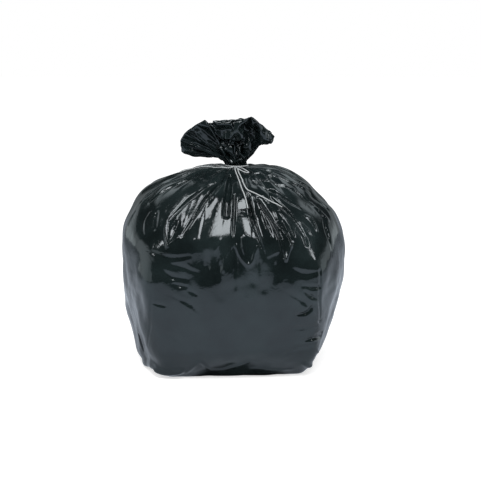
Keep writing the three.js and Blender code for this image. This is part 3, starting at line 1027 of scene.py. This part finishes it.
def studio_world(context):
    """White to the camera. To the film it is white near the level, dimmer behind and dark above, with
    a strip low down behind each side, a faint one at each flank and a glow high up behind."""
    world = bpy.data.worlds.new("studio")
    world.use_nodes = True
    context.scene.world = world
    nodes, links = world.node_tree.nodes, world.node_tree.links
    nodes.clear()
    output = nodes.new("ShaderNodeOutputWorld")
    coordinates = nodes.new("ShaderNodeTexCoord")
    split = nodes.new("ShaderNodeSeparateXYZ")
    links.new(coordinates.outputs["Generated"], split.inputs[0])
    lean = nodes.new("ShaderNodeVectorMath")
    lean.operation = "DOT_PRODUCT"
    lean.inputs[1].default_value = (-0.336, 1.0, 0.0)
    links.new(coordinates.outputs["Generated"], lean.inputs[0])
    lip = ranged(nodes, links, lean.outputs["Value"], (-0.8, -0.1), (-0.15, 0.28))
    above = nodes.new("ShaderNodeMath")
    above.operation = "SUBTRACT"
    links.new(split.outputs["Z"], above.inputs[0])
    links.new(lip, above.inputs[1])
    fade = ranged(nodes, links, above.outputs[0], (-0.02, 0.08), (1.0, 0.06))
    sideways = nodes.new("ShaderNodeMath")
    sideways.operation = "ABSOLUTE"
    links.new(split.outputs["X"], sideways.inputs[0])
    behind = product(
        nodes, links,
        ranged(nodes, links, split.outputs["Y"], (0.0, 0.6), (1.0, 0.62)),
        ranged(nodes, links, split.outputs["Y"], (0.7, 0.95), (1.0, 0.4)),
    )
    strip = product(
        nodes, links,
        ranged(nodes, links, split.outputs["Y"], (0.45, 0.50), (0.0, 0.6)),
        ranged(nodes, links, split.outputs["Y"], (0.74, 0.79), (1.0, 0.0)),
    )
    flank = product(
        nodes, links,
        ranged(nodes, links, sideways.outputs[0], (0.90, 0.95), (0.0, 0.3)),
        ranged(nodes, links, split.outputs["Z"], (0.25, 0.40), (1.0, 0.0)),
    )
    glow = product(
        nodes, links,
        ranged(nodes, links, split.outputs["Y"], (0.30, 0.50), (0.0, 1.2)),
        product(
            nodes, links,
            ranged(nodes, links, split.outputs["Z"], (0.45, 0.60), (0.0, 1.0)),
            ranged(nodes, links, split.outputs["Z"], (0.75, 0.85), (1.0, 0.0)),
        ),
    )
    low = ranged(nodes, links, split.outputs["Z"], (0.08, 0.22), (1.0, 0.0))
    lamps = total(nodes, links, total(nodes, links, glow, flank), product(nodes, links, strip, low))
    strength = total(nodes, links, product(nodes, links, fade, behind), lamps)
    room = nodes.new("ShaderNodeBackground")
    room.inputs["Color"].default_value = (0.88, 0.97, 1.0, 1.0)
    links.new(strength, room.inputs["Strength"])
    fill = nodes.new("ShaderNodeBackground")
    fill.inputs["Color"].default_value = (1.0, 1.0, 1.0, 1.0)
    fill.inputs["Strength"].default_value = 0.6
    white = nodes.new("ShaderNodeBackground")
    white.inputs["Color"].default_value = (1.0, 1.0, 1.0, 1.0)
    path = nodes.new("ShaderNodeLightPath")
    gloss = nodes.new("ShaderNodeMixShader")
    links.new(path.outputs["Is Glossy Ray"], gloss.inputs[0])
    links.new(fill.outputs[0], gloss.inputs[1])
    links.new(room.outputs[0], gloss.inputs[2])
    mix = nodes.new("ShaderNodeMixShader")
    links.new(path.outputs["Is Camera Ray"], mix.inputs[0])
    links.new(gloss.outputs[0], mix.inputs[1])
    links.new(white.outputs[0], mix.inputs[2])
    links.new(mix.outputs[0], output.inputs["Surface"])
    world.cycles.sampling_method = "NONE"


def floor_material():
    """White floor: lit and steady parts for the camera, so that it keeps the shadow, and for the
    film's gloss a white sheet that ends some way in front of the sack, with a painted contact
    shadow where the sack touches it, and dimmer beside and behind it."""
    material = bpy.data.materials.new("studio_floor")
    material.use_nodes = True
    nodes, links = material.node_tree.nodes, material.node_tree.links
    nodes.clear()
    output = nodes.new("ShaderNodeOutputMaterial")
    lit = nodes.new("ShaderNodeBsdfDiffuse")
    lit.inputs["Color"].default_value = (0.8, 0.8, 0.8, 1.0)
    steady = nodes.new("ShaderNodeEmission")
    path = nodes.new("ShaderNodeLightPath")
    level = nodes.new("ShaderNodeMath")
    level.operation = "MULTIPLY"
    level.inputs[1].default_value = 0.6
    links.new(path.outputs["Is Camera Ray"], level.inputs[0])
    links.new(level.outputs[0], steady.inputs["Strength"])
    both = nodes.new("ShaderNodeAddShader")
    links.new(lit.outputs[0], both.inputs[0])
    links.new(steady.outputs[0], both.inputs[1])
    coordinates = nodes.new("ShaderNodeTexCoord")
    split = nodes.new("ShaderNodeSeparateXYZ")
    links.new(coordinates.outputs["Object"], split.inputs[0])
    edge = ranged(nodes, links, split.outputs["Y"], (-2.1, -1.7), (0.05, 1.0))
    sheet = nodes.new("ShaderNodeEmission")
    sheet.inputs["Color"].default_value = (0.88, 0.97, 1.1, 1.0)
    level_place = nodes.new("ShaderNodeVectorMath")
    level_place.operation = "MULTIPLY"
    level_place.inputs[1].default_value = (1 / 0.175, 1 / 0.16, 0.0)
    links.new(coordinates.outputs["Object"], level_place.inputs[0])
    away = nodes.new("ShaderNodeVectorMath")
    away.operation = "LENGTH"
    links.new(level_place.outputs[0], away.inputs[0])
    # Painted contact shadow: the sheet, which only the film's gloss sees, is made dark where the sack
    # stands on the floor.
    painted_contact_shadow = ranged(nodes, links, away.outputs["Value"], (0.97, 1.06), (0.05, 1.0))
    behind = product(
        nodes, links,
        ranged(nodes, links, split.outputs["Y"], (-0.1, 0.6), (1.0, 0.6)),
        ranged(nodes, links, split.outputs["Y"], (0.4, 1.5), (1.0, 0.45)),
    )
    beside = product(
        nodes, links,
        ranged(nodes, links, away.outputs["Value"], (1.3, 4.0), (0.6, 0.0)),
        ranged(nodes, links, split.outputs["Y"], (-0.30, -0.08), (0.0, 1.0)),
    )
    rest = nodes.new("ShaderNodeMath")
    rest.operation = "SUBTRACT"
    rest.inputs[0].default_value = 1.0
    links.new(beside, rest.inputs[1])
    slope = ranged(nodes, links, split.outputs["Y"], (-1.7, -0.35), (0.78, 1.15))
    far = product(nodes, links, product(nodes, links, behind, slope), rest.outputs[0])
    # The sheet's strength with its painted contact shadow near the sack.
    near = product(nodes, links, painted_contact_shadow, far)
    links.new(product(nodes, links, edge, near), sheet.inputs["Strength"])
    mix = nodes.new("ShaderNodeMixShader")
    links.new(path.outputs["Is Glossy Ray"], mix.inputs[0])
    links.new(both.outputs[0], mix.inputs[1])
    links.new(sheet.outputs[0], mix.inputs[2])
    links.new(mix.outputs[0], output.inputs["Surface"])
    return material


def soft_box(context, name, azimuth, elevation, distance, size, power):
    """A rectangular lamp that looks at the sack's shoulder, from an azimuth right of the front and
    an elevation, both in degrees."""
    azimuth, elevation = math.radians(azimuth), math.radians(elevation)
    data = bpy.data.lights.new(name, "AREA")
    data.shape = "RECTANGLE"
    data.size, data.size_y = size
    data.energy = power
    lamp = bpy.data.objects.new(name, data)
    aim = Vector((0.0, 0.0, 0.3))
    level = math.cos(elevation)
    direction = Vector((math.sin(azimuth) * level, -math.cos(azimuth) * level, math.sin(elevation)))
    lamp.location = aim + direction * distance
    lamp.rotation_euler = direction.to_track_quat("Z", "Y").to_euler()
    context.scene.collection.objects.link(lamp)


class SACK_OT_stage(bpy.types.Operator):
    """Sets up the white floor, the surroundings, the soft boxes and the camera."""

    bl_idname = "refuse_sack.stage"
    bl_label = "Stage"

    def execute(self, context):
        studio_camera(context)
        studio_world(context)
        mesh = bpy.data.meshes.new("floor")
        half = 12.0
        corners = [(-half, -half, 0), (half, -half, 0), (half, half, 0), (-half, half, 0)]
        mesh.from_pydata(corners, [], [(0, 1, 2, 3)])
        floor = bpy.data.objects.new("floor", mesh)
        context.scene.collection.objects.link(floor)
        mesh.materials.append(floor_material())
        soft_box(context, "front_box", 3, 48, 2.4, (0.75, 1.3), 32.0)
        soft_box(context, "left_box", -58, 30, 2.4, (0.3, 0.6), 5.5)
        soft_box(context, "right_box", 62, 30, 2.4, (0.3, 0.6), 5.5)
        soft_box(context, "left_high_box", -50, 60, 2.4, (0.6, 0.7), 12.0)
        soft_box(context, "right_high_box", 56, 56, 2.4, (0.45, 0.55), 7.5)
        context.scene.view_settings.view_transform = "Standard"
        return {"FINISHED"}


class SACK_PT_panel(bpy.types.Panel):
    """Lists the sack's settings and the steps that build it."""

    bl_idname = "SACK_PT_panel"
    bl_label = "Refuse sack"
    bl_space_type = "VIEW_3D"
    bl_region_type = "UI"
    bl_category = "Refuse sack"

    def draw(self, context):
        for name in SackSettings.__annotations__:
            self.layout.prop(context.scene.refuse_sack, name)
        for name in StringSettings.__annotations__:
            self.layout.prop(context.scene.refuse_sack_string, name)
        for operator in OPERATORS:
            self.layout.operator(operator.bl_idname)


OPERATORS = (SACK_OT_stage, SACK_OT_film, SACK_OT_string)
CLASSES = (SackSettings, StringSettings, *OPERATORS, SACK_PT_panel)


def register():
    for item in CLASSES:
        bpy.utils.register_class(item)
    bpy.types.Scene.refuse_sack = bpy.props.PointerProperty(type=SackSettings)
    bpy.types.Scene.refuse_sack_string = bpy.props.PointerProperty(type=StringSettings)


def unregister():
    del bpy.types.Scene.refuse_sack_string
    del bpy.types.Scene.refuse_sack
    for item in reversed(CLASSES):
        bpy.utils.unregister_class(item)


def main():
    register()
    bpy.ops.refuse_sack.stage()
    bpy.ops.refuse_sack.film()
    bpy.ops.refuse_sack.string()


if __name__ == "__main__":
    main()
